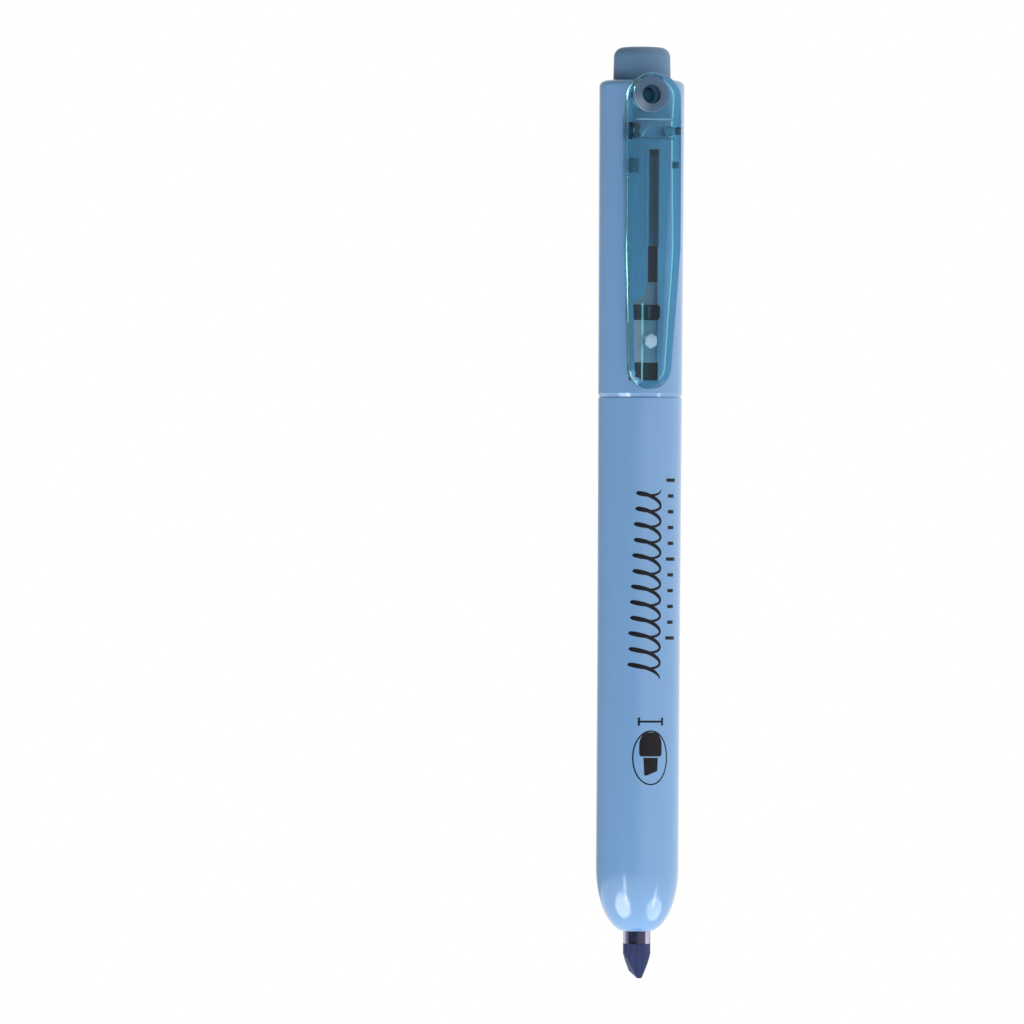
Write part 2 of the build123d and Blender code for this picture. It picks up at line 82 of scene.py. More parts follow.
# Nib
STEM_R = 1.3 * MM
NIB_TAPER_Z = TIP_Z + 3.6 * MM
NIB_BLADE = 0.36 * MM
NIB_SLANT = 1.0 * MM
NIB_SHARPNESS = 20.0  # of the corners between the round head and the bevels
NIB_CLEAR = 1.3  # above the bevels their distance is this many radii, which cuts nothing

# Nose seal
SEAL_FLANGE_T = 1.2 * MM
SEAL_FLANGE_Z = SEAL_TOP_Z - SEAL_FLANGE_T
SEAL_FLANGE_R = 3.95 * MM
SEAL_CHAMFER = 0.25 * MM
SEAL_MOUTH_R = 2.62 * MM
SEAL_LIP_ROOT_R = 2.95 * MM
SEAL_THROAT_R = 2.4 * MM
SEAL_BEAD_T = 0.35 * MM
SEAL_BEAD_HIGH = 0.3 * MM
SEAL_BEAD_LOW = 0.7 * MM
SEAL_BEAD_SLOPE = 0.05 * MM
LIP_R = 2.42 * MM
LIP_CLOSE = 0.17 * MM
LIP_T = 0.5 * MM
LIP_TIP_T = 0.38 * MM
LIP_SLIT_HALF_W = 0.25 * MM
LIP_MIDDLE_R = 2.6 * MM

# Springs
RETURN_SPRING = {"radius": 2.9 * MM, "wire": 0.25 * MM, "turns": 6.5, "closed_turns": 1.25}
HEAD_SPRING = {"radius": 1.95 * MM, "wire": 0.17 * MM, "turns": 2.5, "closed_turns": 1.0}

# Clip: the hinge recess in its face, its pivot, the bump under its tail, and dark blocks in its snap blocks
# that paint the shade of the cavities under them
RECESS_HALF_W = 3.0 * MM
RECESS_FLOOR_Y = -8.9 * MM
RECESS_LOW_Z = 118.4 * MM
RECESS_TOP_Z = 121.5 * MM
BEAD_DEPTH = 0.5 * MM
BEAD_RISE = 0.6
BEAD_END = 0.55
PIVOT_Y = -7.6 * MM
PIVOT_Z = 119.7 * MM
PIN_R = 0.5 * MM
PIN_GROOVE_R = 0.42 * MM
PIN_DOME_R = 0.22 * MM
PIN_BEVEL = 0.08 * MM
PIN_EDGE = 0.1 * MM
PIN_SHOULDER_R = 0.42 * MM
PIN_SHOULDER = 0.08 * MM
PIN_DOME = 0.25 * MM
PIN_OUTER_X = 3.95 * MM
PIN_NECK_X = 3.4 * MM
PIN_GROOVE_X = 3.0 * MM
PIN_INNER_X = 2.1 * MM
KNUCKLE_NEAR_X = 1.87 * MM
KNUCKLE_FAR_X = 3.18 * MM
KNUCKLE_HALF_T = 0.77 * MM
KNUCKLE_CORNER = 0.6 * MM
KNUCKLE_ENDS = [(0, 0.5), (0.07, 0.76), (0.18, 0.93), (0.34, 1)]
SHADE_BLOCK_CORNER = 0.15 * MM
SHADE_BLOCK_ENDS = [(0, 0.94), (0.06, 1)]
SNAP_SHADE_BLOCKS = (
    ("left", Vector((-3.6, -8.6, 113.4)) * MM, Vector((-2.45, -7.9, 115.6)) * MM),
    ("right", Vector((3.0, -8.6, 114.1)) * MM, Vector((3.65, -7.9, 115.1)) * MM),
)
BUMP_X = -0.3 * MM
BUMP_Z = 88.35 * MM
# A light hexagon at the bump paints the highlight that the rib reflects there
HEX_HALF_W = 0.85 * MM
HEX_HALF_H = 1.15 * MM
HEX_WAIST = 0.6 * MM
HEX_LAYERS = ((-9.2 * MM, 0.9), (-9.1 * MM, 1.0), (-7.5 * MM, 1.0), (-7.25 * MM, 0.85))  # y and size

# Print, by distance u round the barrel from its middle line and by height
INK_T = 0.018 * MM
PRINT_ANGLE = math.radians(-101.5)
SCRIPT_U = 0.75 * MM
SCRIPT_LOW_Z = 38.4 * MM
SCRIPT_LENGTH = 28.2 * MM
TICKS_U = 5.25 * MM
TICKS_LOW_Z = 44.0 * MM
TICK_STEP = 2.36 * MM
TICK_HALF = 0.62 * MM
LONG_TICK_HALF = 0.95 * MM
ICON_U = 1.9 * MM
WIDTH_MARK_Z = 31.5 * MM
WIDTH_MARK_HALF = 1.85 * MM
ICON_Z = 26.1 * MM
OVAL_HALF_W = 2.75 * MM
OVAL_HALF_H = 4.0 * MM
TICK_W = 0.5 * MM
BAR_W = 0.3 * MM
BAR_END_W = 0.34 * MM
BAR_END_HALF = 0.6 * MM
OVAL_W = 0.2 * MM

# Colours and finishes
BARREL_BLUE = (0.155, 0.315, 0.555)
BUTTON_BLUE = (0.1, 0.205, 0.345)
SLIDER_GREY = (0.58, 0.42, 0.52)
# Painted shade: the slider's colour deep inside the barrel, and the radii between which it gives way to its
# own colour
SLIDER_SHADE = (0.02, 0.035, 0.09)
SLIDER_SHADE_R = 4.3 * MM
SLIDER_UNSHADED_R = 5.2 * MM
CLIP_TINT = (0.66, 0.91, 0.95)
CLIP_BODY = (0.0, 0.66, 0.77)
CLIP_DENSITY = 330.0
RING_CENTRE = (BOSS_X, CLIP_FACE_Y, BOSS_Z)
RING_REACH = 2.66 * MM
RING_EDGE = 0.12 * MM
RING_ROUGH = 0.5
RING_MILK = 0.48
RING_DULL = (0.11, 0.19, 0.3)
RING_HIGHLIGHT_COLOUR = (0.28, 0.35, 0.48)
# A lighter patch at the ring's lower left: a painted highlight
RING_HIGHLIGHT_CENTRE = (BOSS_X - 1.55 * MM, CLIP_FACE_Y, BOSS_Z - 1.35 * MM)
RING_HIGHLIGHT_REACH = 0.4 * MM
RING_HIGHLIGHT_EDGE = 1.3 * MM

# Camera and studio
CAMERA_AZIMUTH = math.radians(-11.5)
CAMERA_DISTANCE = 1.5
CAMERA_ROLL = math.radians(0.35)
CAMERA_CLIP_END = 10.0
SENSOR_WIDTH = 36.0
FRAME_HEIGHT = 0.1536
CENTRE_Z = 62.7 * MM
OFFSET_RIGHT = -19.1 * MM
FLOOR_DROP = 1.7
FLOOR_R = 10.0
STUDIO_LEVEL = 0.95
DARK_SIDE = 0.25
DARK_AT_X = -0.5
BRIGHT_AT_X = 0.2
LAMP_DISTANCE = 0.5
LAMP_TARGET = Vector((0, 0, 5 * MM))


# ---------------------------------------------------------------- materials


class Nodes:
    """One material's node tree, with short ways to add and join what it needs."""

    def __init__(self, name):
        self.material = bpy.data.materials.new(name)
        self.material.use_nodes = True
        self.tree = self.material.node_tree
        self.shader = self.tree.nodes["Principled BSDF"]
        self.place = self.add("ShaderNodeTexCoord").outputs["Object"]

    def add(self, kind, **inputs):
        """A new node, with its inputs set by name."""
        node = self.tree.nodes.new(kind)
        for key, value in inputs.items():
            node.inputs[key.replace("_", " ")].default_value = value
        return node

    def link(self, source, target):
        self.tree.links.new(source, target)

    def set(self, **values):
        """Sets the shader's inputs by name."""
        for key, value in values.items():
            self.shader.inputs[key.replace("_", " ")].default_value = value

    def along(self, share):
        """Object coordinates scaled along the pen, so that grain runs that way when share is under 1."""
        mapping = self.add("ShaderNodeMapping")
        mapping.inputs["Scale"].default_value = (1, 1, share)
        self.link(self.place, mapping.inputs["Vector"])
        return mapping.outputs["Vector"]

    def noise(self, scale, detail=4.0, rough=0.55, place=None):
        """A cloudy value between 0 and 1: a larger scale makes a finer grain."""
        node = self.add("ShaderNodeTexNoise", Scale=scale, Detail=detail, Roughness=rough)
        self.link(place or self.place, node.inputs["Vector"])
        return node.outputs["Fac"]

    def vector_math(self, operation, vector, constant=(0, 0, 0)):
        """The outputs of one operation on a vector and a constant."""
        node = self.add("ShaderNodeVectorMath")
        node.operation = operation
        node.inputs[1].default_value = constant
        self.link(vector, node.inputs[0])
        return node.outputs

    def larger(self, first, second):
        """The larger of two values at each point."""
        node = self.add("ShaderNodeMath")
        node.operation = "MAXIMUM"
        self.link(first, node.inputs[0])
        self.link(second, node.inputs[1])
        return node.outputs["Value"]

    def rise(self, value, zero_at, one_at):
        """0 where a value is at or past zero_at, growing to 1 at one_at."""
        node = self.add("ShaderNodeMapRange")
        node.inputs["From Min"].default_value = zero_at
        node.inputs["From Max"].default_value = one_at
        self.link(value, node.inputs["Value"])
        return node.outputs["Result"]

    def range(self, factor, low, high):
        """A value between low and high, as a factor goes from 0 to 1."""
        node = self.add("ShaderNodeMapRange")
        node.inputs["To Min"].default_value = low
        node.inputs["To Max"].default_value = high
        self.link(factor, node.inputs["Value"])
        return node.outputs["Result"]

    def near(self, centre, reach, edge):
        """1 within reach of a point, falling to 0 over edge: for a patch with a finish of its own."""
        distance = self.vector_math("DISTANCE", self.place, centre)["Value"]
        return self.rise(distance, reach + edge, reach)

    def radial(self, inner, outer):
        """0 inside one distance from the pen's axis and 1 outside another."""
        flat = self.vector_math("MULTIPLY", self.place, (1, 1, 0))["Vector"]
        return self.rise(self.vector_math("LENGTH", flat)["Value"], inner, outer)

    def mix(self, factor, first, second):
        """One colour blended towards another by a factor: each is a socket or a constant."""
        node = self.add("ShaderNodeMixRGB")
        self.link(factor, node.inputs["Fac"])
        for entry, colour in (("Color1", first), ("Color2", second)):
            if isinstance(colour, tuple):
                node.inputs[entry].default_value = (*colour, 1.0)
            else:
                self.link(colour, node.inputs[entry])
        return node.outputs["Color"]

    def ramp(self, factor, low, high, low_at=0.3, high_at=0.7):
        """A colour that goes from low to high as a factor goes from low_at to high_at."""
        node = self.add("ShaderNodeValToRGB")
        for element, at, colour in zip(node.color_ramp.elements, (low_at, high_at), (low, high)):
            element.position = at
            element.color = (*colour, 1.0)
        self.link(factor, node.inputs["Fac"])
        return node.outputs["Color"]

    def colour(self, factor, low, high):
        """Sets the shader's colour from a factor."""
        self.link(self.ramp(factor, low, high), self.shader.inputs["Base Color"])

    def rough(self, factor, low, high):
        """Sets the shader's roughness from a factor."""
        self.link(self.range(factor, low, high), self.shader.inputs["Roughness"])

    def bump(self, height, distance, strength=1.0, before=None):
        """Relief from a height, on top of the relief before it, if any."""
        node = self.add("ShaderNodeBump", Strength=strength, Distance=distance)
        self.link(height, node.inputs["Height"])
        if before:
            self.link(before, node.inputs["Normal"])
        self.link(node.outputs["Normal"], self.shader.inputs["Normal"])
        return node.outputs["Normal"]

    def absorb(self, colour, density):
        """Colour that deepens with the thickness of clear plastic that light has crossed."""
        volume = self.add("ShaderNodeVolumeAbsorption", Color=(*colour, 1.0), Density=density)
        output = self.tree.nodes["Material Output"]
        self.link(volume.outputs["Volume"], output.inputs["Volume"])


def shade(colour, factor):
    """A colour made darker or lighter by a factor."""
    return tuple(c * factor for c in colour)


def moulded_plastic(name, colour, rough, peel, coat=0.0, subsurface=0.0):
    """Opaque injection-moulded plastic: faint flow mottling, orange peel and fine polish marks."""
    m = Nodes(name)
    m.set(IOR=1.5, Coat_Weight=coat, Coat_Roughness=0.1, Subsurface_Weight=subsurface)
    m.set(Subsurface_Radius=(0.4, 0.7, 1.0), Subsurface_Scale=0.4 * MM)
    flow = m.noise(scale=90.0, place=m.along(0.25))
    m.colour(flow, shade(colour, 0.965), shade(colour, 1.03))
    polish = m.noise(scale=2600.0, detail=2.0, place=m.along(0.06))
    m.rough(polish, rough * 0.85, rough * 1.2)
    orange_peel = m.bump(m.noise(scale=420.0, detail=1.0), distance=peel * MM)
    m.bump(polish, distance=0.0012 * MM, before=orange_peel)
    return m.material


def satin_plastic(name, colour, rough, ior=1.48):
    """Spark-eroded satin plastic: a fine even grain. Inside clear plastic its index is lower."""
    m = Nodes(name)
    m.set(IOR=ior)
    m.colour(m.noise(scale=160.0), shade(colour, 0.94), shade(colour, 1.06))
    grain = m.noise(scale=5200.0, detail=3.0, rough=0.7)
    m.rough(grain, rough * 0.85, rough * 1.15)
    m.bump(grain, distance=0.006 * MM)
    return m.material


def clear_plastic(name, colour, rough):
    """Transparent moulded plastic with slight flow waves on its skin."""
    m = Nodes(name)
    m.set(IOR=1.49, Transmission_Weight=1.0)
    flow = m.noise(scale=220.0, detail=2.0, place=m.along(0.3))
    m.colour(flow, shade(colour, 0.97), shade(colour, 1.02))
    m.rough(m.noise(scale=3000.0, detail=2.0), rough * 0.7, rough * 1.3)
    m.bump(flow, distance=0.004 * MM)
    return m.material


def clip_finish(name, colour, rough):
    """Tinted clear plastic that darkens with thickness. A milky satin ring lies round its head's hole,
    lighter at its lower left as a painted highlight.
    """
    m = Nodes(name)
    m.set(IOR=1.36)
    flow = m.noise(scale=220.0, detail=2.0, place=m.along(0.3))
    clear = m.ramp(flow, shade(colour, 0.97), shade(colour, 1.02))
    ring = m.near(RING_CENTRE, RING_REACH, RING_EDGE)
    highlight = m.near(RING_HIGHLIGHT_CENTRE, RING_HIGHLIGHT_REACH, RING_HIGHLIGHT_EDGE)
    ring_colour = m.mix(highlight, RING_DULL, RING_HIGHLIGHT_COLOUR)
    m.link(m.mix(ring, clear, ring_colour), m.shader.inputs["Base Color"])
    polish = m.range(m.noise(scale=3000.0, detail=2.0), rough * 0.7, rough * 1.3)
    m.link(m.larger(polish, m.range(ring, 0.0, RING_ROUGH)), m.shader.inputs["Roughness"])
    m.link(m.range(ring, 1.0, 1 - RING_MILK), m.shader.inputs["Transmission Weight"])
    m.bump(flow, distance=0.002 * MM)
    m.absorb(CLIP_BODY, CLIP_DENSITY)
    return m.material


def painted_shade_plastic(name, inner, outer, rough):
    """Satin slider plastic: dark near the axis as painted shade, where it lies deep in the barrel; its own
    light colour on the pad that rides at the window.
    """
    m = Nodes(name)
    m.set(IOR=1.48)
    depth = m.radial(SLIDER_SHADE_R, SLIDER_UNSHADED_R)
    m.link(m.ramp(depth, inner, outer, low_at=0.0, high_at=1.0), m.shader.inputs["Base Color"])
    grain = m.noise(scale=3000.0, detail=3.0)
    m.rough(grain, rough * 0.8, rough * 1.2)
    m.bump(grain, distance=0.004 * MM)
    return m.material


def felt(name, dark, light):
    """Compressed fibre soaked in ink: strands that run along the nib."""
    m = Nodes(name)
    m.set(IOR=1.33, Sheen_Weight=0.05, Sheen_Roughness=0.6)
    strands = m.noise(scale=3600.0, detail=6.0, rough=0.65, place=m.along(0.12))
    m.colour(strands, dark, light)
    m.rough(strands, 0.42, 0.75)
    pores = m.bump(m.noise(scale=6500.0, detail=3.0), distance=0.02 * MM, strength=0.6)
    m.bump(strands, distance=0.035 * MM, before=pores)
    return m.material


def rubber(name, colour):
    """Moulded rubber with a dull, slightly uneven skin."""
    m = Nodes(name)
    m.set(IOR=1.45)
    m.colour(m.noise(scale=900.0), shade(colour, 0.85), shade(colour, 1.15))
    skin = m.noise(scale=4200.0)
    m.rough(skin, 0.45, 0.62)
    m.bump(skin, distance=0.004 * MM)
    return m.material


def drawn_steel(name, colour, rough):
    """Drawn steel: fine marks along the length."""
    m = Nodes(name)
    m.set(Metallic=1.0, Anisotropic=0.4)
    marks = m.noise(scale=3000.0, detail=4.0, place=m.along(0.2))
    m.colour(marks, shade(colour, 0.85), shade(colour, 1.1))
    m.rough(marks, rough * 0.8, rough * 1.3)
    m.bump(marks, distance=0.003 * MM)
    return m.material


def print_ink(name, colour):
    """Pad-printed ink: almost black, satin and a little uneven."""
    m = Nodes(name)
    m.set(IOR=1.33)
    m.colour(m.noise(scale=1400.0), shade(colour, 0.7), shade(colour, 1.4))
    film = m.noise(scale=5000.0, detail=2.0)
    m.rough(film, 0.28, 0.4)
    m.bump(film, distance=0.002 * MM)
    return m.material


def floor_paper(name):
    """Plain white paper that glows a little, so that it stays even."""
    m = Nodes(name)
    m.colour(m.noise(scale=6.0), (0.9, 0.9, 0.9), (0.93, 0.93, 0.93))
    m.set(Roughness=0.9, Emission_Color=(1, 1, 1, 1), Emission_Strength=0.4)
    return m.material


barrel_plastic = moulded_plastic("barrel_plastic", BARREL_BLUE, 0.16, 0.006, coat=0.6, subsurface=0.06)
button_plastic = satin_plastic("button_plastic", BUTTON_BLUE, 0.42)
slider_plastic = painted_shade_plastic("slider_plastic", SLIDER_SHADE, SLIDER_GREY, 0.35)
clip_plastic = clip_finish("clip_plastic", CLIP_TINT, 0.015)
bead_plastic = moulded_plastic("bead_plastic", (0.1, 0.24, 0.36), 0.25, 0.002)
# Near-black: painted shade of the hinge's cavity on the left pin head and knuckle
hinge_shade_plastic = satin_plastic("hinge_shade_plastic", (0.0, 0.08, 0.15), 0.55, ior=1.1)
# Dark teal: painted shade of the cavities under the snap blocks, also on the right pin
snap_shade_plastic = moulded_plastic("snap_shade_plastic", (0.0, 0.12, 0.2), 0.3, 0.002)
# Light lilac-white with a little subsurface: paints the highlight in the clip's rib
painted_highlight_plastic = moulded_plastic("painted_highlight_plastic", (0.85, 0.81, 0.97), 0.3, 0.003, subsurface=0.1)
holder_plastic = clear_plastic("holder_plastic", (0.58, 0.56, 0.78), 0.08)
wrap_film = clear_plastic("wrap_film", (0.9, 0.92, 0.95), 0.1)
acetal = satin_plastic("acetal", (0.78, 0.78, 0.75), 0.4)
dark_acetal = satin_plastic("dark_acetal", (0.01, 0.3, 0.48), 0.4)
tube_plastic = moulded_plastic("tube_plastic", (0.8, 0.82, 0.85), 0.3, 0.004)
seal_silicone = rubber("seal_silicone", (0.3, 0.34, 0.4))
black_rubber = rubber("black_rubber", (0.02, 0.02, 0.022))
nib_felt = felt("nib_felt", (0.008, 0.015, 0.06), (0.027, 0.044, 0.15))
filler_fibre = felt("filler_fibre", (0.03, 0.06, 0.22), (0.08, 0.14, 0.4))
spring_steel = drawn_steel("spring_steel", (0.62, 0.62, 0.62), 0.28)
ink_black = print_ink("ink_black", (0.0035, 0.003, 0.006))

FINISHES = {
    "front_barrel": barrel_plastic,
    "rear_barrel": barrel_plastic,
    "guide_bush": dark_acetal,
    "stop_damper": black_rubber,
    "slit_seal": seal_silicone,
    "seal_retainer": acetal,
    "seal_cartridge": acetal,
    "cartridge_o_ring": black_rubber,
    "neck_wiper_ring": black_rubber,
    "spring_seat": spring_steel,
    "return_spring": spring_steel,
    "nib": nib_felt,
    "nib_holder": holder_plastic,
    "ink_tube": tube_plastic,
    "filler_wrap": wrap_film,
    "ink_filler": filler_fibre,
    "tube_end_plug": tube_plastic,
    "slider": slider_plastic,
    "button_cap": button_plastic,
    "pocket_clip": clip_plastic,
    "clip_spring": spring_steel,
}
for node_name, finish in FINISHES.items():
    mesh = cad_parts[node_name].data
    mesh.materials.clear()
    mesh.materials.append(finish)


# ---------------------------------------------------------------- mesh helpers


def make_object(name, bm, material, smooth_angle):
    """A finished mesh object: smooth shading, with edges sharper than the angle in degrees kept crisp."""
    bmesh.ops.recalc_face_normals(bm, faces=bm.faces)
    mesh = bpy.data.meshes.new(name)
    bm.to_mesh(mesh)
    bm.free()
    mesh.materials.append(material)
    mesh.shade_smooth()
    mesh.set_sharp_from_angle(angle=math.radians(smooth_angle))
    piece = bpy.data.objects.new(name, mesh)
    bpy.context.scene.collection.objects.link(piece)
    return piece


def loft(rings, closed_loop=False):
    """A skin over rings of points, each closed on itself: capped at both ends, or joined end to end."""
    bm = bmesh.new()
    rows = [[bm.verts.new(p) for p in ring] for ring in rings]
    count = len(rows[0])
    pairs = list(zip(rows, rows[1:]))
    if closed_loop:
        pairs.append((rows[-1], rows[0]))
    for low, high in pairs:
        for i in range(count):
            j = (i + 1) % count
            bm.faces.new((low[i], low[j], high[j], high[i]))
    if not closed_loop:
        bm.faces.new(rows[0][::-1])
        bm.faces.new(rows[-1])
    return bm


def around(radius, z, sides):
    """A ring of points round the pen's axis."""
    step = 2 * math.pi / sides
    return [(math.cos(k * step) * radius, math.sin(k * step) * radius, z) for k in range(sides)]


def coil_mesh(name, material, length, place, radius, wire, turns, closed_turns):
    """A compression spring along +Z: closed, ground-looking end turns and open turns between."""
    steps_per_turn, sides = 40, 14
    end_size, end_steps = 0.35, 6
    total = turns + 2 * closed_turns
    steps = int(total * steps_per_turn)
    closed_pitch = 2 * wire
    open_length = length - 2 * wire - 2 * closed_turns * closed_pitch
    rings = []
    for k in range(steps + 1):
        turn = total * k / steps
        if turn < closed_turns:
            height = turn * closed_pitch
        elif turn > total - closed_turns:
            height = length - 2 * wire - (total - turn) * closed_pitch
        else:
            height = closed_turns * closed_pitch + (turn - closed_turns) / turns * open_length
        angle = 2 * math.pi * turn
        outward = Vector((math.cos(angle), math.sin(angle), 0))
        centre = outward * radius + Vector((0, 0, wire + height))
        taper = min(1.0, end_size + (1 - end_size) * min(k, steps - k) / end_steps)
        ring = []
        for s in range(sides):
            a = 2 * math.pi * s / sides
            spoke = outward * math.cos(a) + Vector((0, 0, math.sin(a)))
            ring.append(place @ (centre + spoke * wire * taper))
        rings.append(ring)
    return make_object(name, loft(rings), material, smooth_angle=60)


# ---------------------------------------------------------------- nib


def nib_half_width(z):
    """Half the distance between the two bevels at height z: above them, wide enough to cut nothing."""
    share = (NIB_TAPER_Z - z) / (NIB_TAPER_Z - TIP_Z)
    if share <= 0:
        return NIB_R * NIB_CLEAR
    return NIB_R + (NIB_BLADE - NIB_R) * min(1.0, share)


def nib_reach(angle, z):
    """The nib's radius at an angle and height: round, cut by the two bevels, corners a little soft."""
    flat = nib_half_width(z) / max(abs(math.cos(angle)), 1e-6)
    return (NIB_R**-NIB_SHARPNESS + flat**-NIB_SHARPNESS) ** (-1 / NIB_SHARPNESS)


def nib_end(angle):
    """The height at which the slanted end cuts the nib's skin at an angle, found by a few repeats."""
    repeats = 6
    z = TIP_Z
    for _ in range(repeats):
        y = math.sin(angle) * nib_reach(angle, z)
        z = TIP_Z + NIB_SLANT * (0.5 + 0.5 * y / NIB_R)
    return z


def nib_piece():
    """The chisel nib: a felt stem and head, with two bevels and a slanted edge, all corners soft."""
    sides, levels = 120, 44
    crowding = 1.35  # levels lie closer together towards the slanted end
    round_from, round_by = 0.94, 0.1  # the last levels draw in
    rings = []
    for level in range(levels + 1):
        share = level / levels
        eased = 1 - (1 - share) ** crowding
        close = max(0.0, (share - round_from) / (1 - round_from))
        ring = []
        for side in range(sides):
            angle = 2 * math.pi * side / sides
            z = HOLDER_END_Z + (nib_end(angle) - HOLDER_END_Z) * eased
            radius = nib_reach(angle, z) * (1 - round_by * close**2)
            ring.append((math.cos(angle) * radius, math.sin(angle) * radius, z))
        rings.append(ring)
    for height in (HOLDER_END_Z, (HOLDER_END_Z + STEM_TOP_Z) / 2, STEM_TOP_Z):
        rings.insert(0, around(STEM_R, height, sides))
    return make_object("chisel_nib", loft(rings), nib_felt, smooth_angle=60)


# ---------------------------------------------------------------- nose seal


def seal_ring():
    """The rubber slit seal's clamped flange, with a rolled bead at its throat."""
    steps = 96
    profile = [
        (SEAL_MOUTH_R, SEAL_FLANGE_Z),
        (SEAL_LIP_ROOT_R, SEAL_FLANGE_Z),
        (SEAL_FLANGE_R, SEAL_FLANGE_Z),
        (SEAL_FLANGE_R, SEAL_TOP_Z - SEAL_CHAMFER),
        (SEAL_FLANGE_R - SEAL_CHAMFER, SEAL_TOP_Z),
        (SEAL_THROAT_R + SEAL_BEAD_T, SEAL_TOP_Z),
        (SEAL_THROAT_R + SEAL_BEAD_SLOPE, SEAL_TOP_Z - SEAL_BEAD_HIGH),
        (SEAL_THROAT_R, SEAL_TOP_Z - SEAL_BEAD_LOW),
    ]
    rings = []
    for step in range(steps):
        angle = 2 * math.pi * step / steps
        rings.append([(r * math.cos(angle), r * math.sin(angle), z) for r, z in profile])
    return make_object("seal_flange", loft(rings, closed_loop=True), seal_silicone, smooth_angle=50)


def seal_lip(name, side):
    """One of the two lips, built held open round the holder; on the pen it closes as the nib is drawn in."""
    rows, steps = 10, 40
    gap = math.asin(LIP_SLIT_HALF_W / LIP_MIDDLE_R)
    rings = []
    for step in range(steps + 1):
        angle = gap + (math.pi - 2 * gap) * step / steps
        c, s = math.cos(angle), math.sin(angle) * side
        inner = []
        outer = []
        for row in range(rows + 1):
            share = row / rows
            z = SEAL_FLANGE_Z + (SEAL_TIP_Z - SEAL_FLANGE_Z) * share
            inside = LIP_R - LIP_CLOSE * share
            outside = inside + LIP_T + (LIP_TIP_T - LIP_T) * share
            inner.append((inside * c, inside * s, z))
            outer.append((outside * c, outside * s, z))
        rings.append(inner + outer[::-1])
    return make_object(name, loft(rings), seal_silicone, smooth_angle=50)


# ---------------------------------------------------------------- clip details


def recess_bead(name, z, side):
    """A bead of plastic in the corner of the hinge recess, with a rounded face that catches light."""
    steps, arc, squareness = 36, 8, 8
    rings = []
    for k in range(steps + 1):
        across = 2 * k / steps - 1
        swell = BEAD_END + (1 - BEAD_END) * math.sqrt(max(0.0, 1 - across**squareness))
        depth = BEAD_DEPTH * swell
        x = RECESS_HALF_W * across
        ring = [(x, RECESS_FLOOR_Y, z)]
        for s in range(arc + 1):
            a = math.pi / 2 * s / arc
            ring.append((x, RECESS_FLOOR_Y - depth * math.cos(a), z + side * depth * BEAD_RISE * math.sin(a)))
        rings.append(ring)
    return make_object(name, loft(rings), bead_plastic, smooth_angle=50)


def hinge_pin(name, material, side, head_r):
    """An axle pin in the clip's trunnion: a flat head in the clip's wall, a groove and a domed inner end."""
    sides = 40
    profile = [
        (PIN_OUTER_X, head_r - PIN_BEVEL),
        (PIN_OUTER_X - PIN_EDGE, head_r),
        (PIN_NECK_X + PIN_EDGE, head_r),
        (PIN_NECK_X, head_r - PIN_BEVEL),
        (PIN_NECK_X, PIN_R),
        (PIN_GROOVE_X + PIN_EDGE, PIN_R),
        (PIN_GROOVE_X, PIN_GROOVE_R),
        (PIN_GROOVE_X - PIN_EDGE, PIN_R),
        (PIN_INNER_X + PIN_DOME, PIN_R),
        (PIN_INNER_X + PIN_SHOULDER, PIN_SHOULDER_R),
        (PIN_INNER_X, PIN_DOME_R),
    ]
    rings = []
    for x, radius in profile:
        ring = around(radius, 0, sides)
        rings.append([(side * x, PIVOT_Y + y, PIVOT_Z + z) for y, z, _ in ring])
    return make_object(name, loft(rings), material, smooth_angle=40)


def rounded_block(name, material, low, high, corner, ends):
    """A block with rounded corners along X and softer ends. Low and high are opposite corners, and ends
    lists how far along each ring lies and its size against the middle."""
    arc = 6
    middle_y, middle_z = (low.y + high.y) / 2, (low.z + high.z) / 2
    centres = [
        (high.y - corner, high.z - corner, 0),
        (low.y + corner, high.z - corner, 90),
        (low.y + corner, low.z + corner, 180),
        (high.y - corner, low.z + corner, 270),
    ]
    rings = []
    for share, size in ends + [(1 - share, size) for share, size in reversed(ends)]:
        x = low.x + (high.x - low.x) * share
        ring = []
        for y, z, start in centres:
            for k in range(arc + 1):
                angle = math.radians(start + 90 * k / arc)
                along_y = y + corner * math.cos(angle) - middle_y
                along_z = z + corner * math.sin(angle) - middle_z
                ring.append((x, middle_y + along_y * size, middle_z + along_z * size))
        rings.append(ring)
    return make_object(name, loft(rings), material, smooth_angle=50)


def hinge_shade_knuckle(name, material, side, half_h):
    """A dark block round one of the barrel's ears, under the clip's recess, with rounded ends: it paints the
    shade in the hinge's cavity.
    """
    low = Vector((KNUCKLE_NEAR_X, PIVOT_Y - KNUCKLE_HALF_T, PIVOT_Z - half_h))
    high = Vector((KNUCKLE_FAR_X, PIVOT_Y + KNUCKLE_HALF_T, PIVOT_Z + half_h))
    if side < 0:
        low.x, high.x = -high.x, -low.x
    return rounded_block(name, material, low, high, KNUCKLE_CORNER, KNUCKLE_ENDS)


def painted_highlight_hex():
    """A light hexagon inside the clip's rib, behind the bump that presses on a pocket: a painted highlight
    where the rib's faces reflect light.
    """
    corners = [
        (0, HEX_HALF_H),
        (HEX_HALF_W, HEX_WAIST),
        (HEX_HALF_W, -HEX_WAIST),
        (0, -HEX_HALF_H),
        (-HEX_HALF_W, -HEX_WAIST),
        (-HEX_HALF_W, HEX_WAIST),
    ]
    rings = []
    for y, size in HEX_LAYERS:
        rings.append([(BUMP_X + x * size, y, BUMP_Z + z * size) for x, z in corners])
    return make_object("painted_highlight_hex", loft(rings), painted_highlight_plastic, smooth_angle=50)


# ---------------------------------------------------------------- print on the barrel


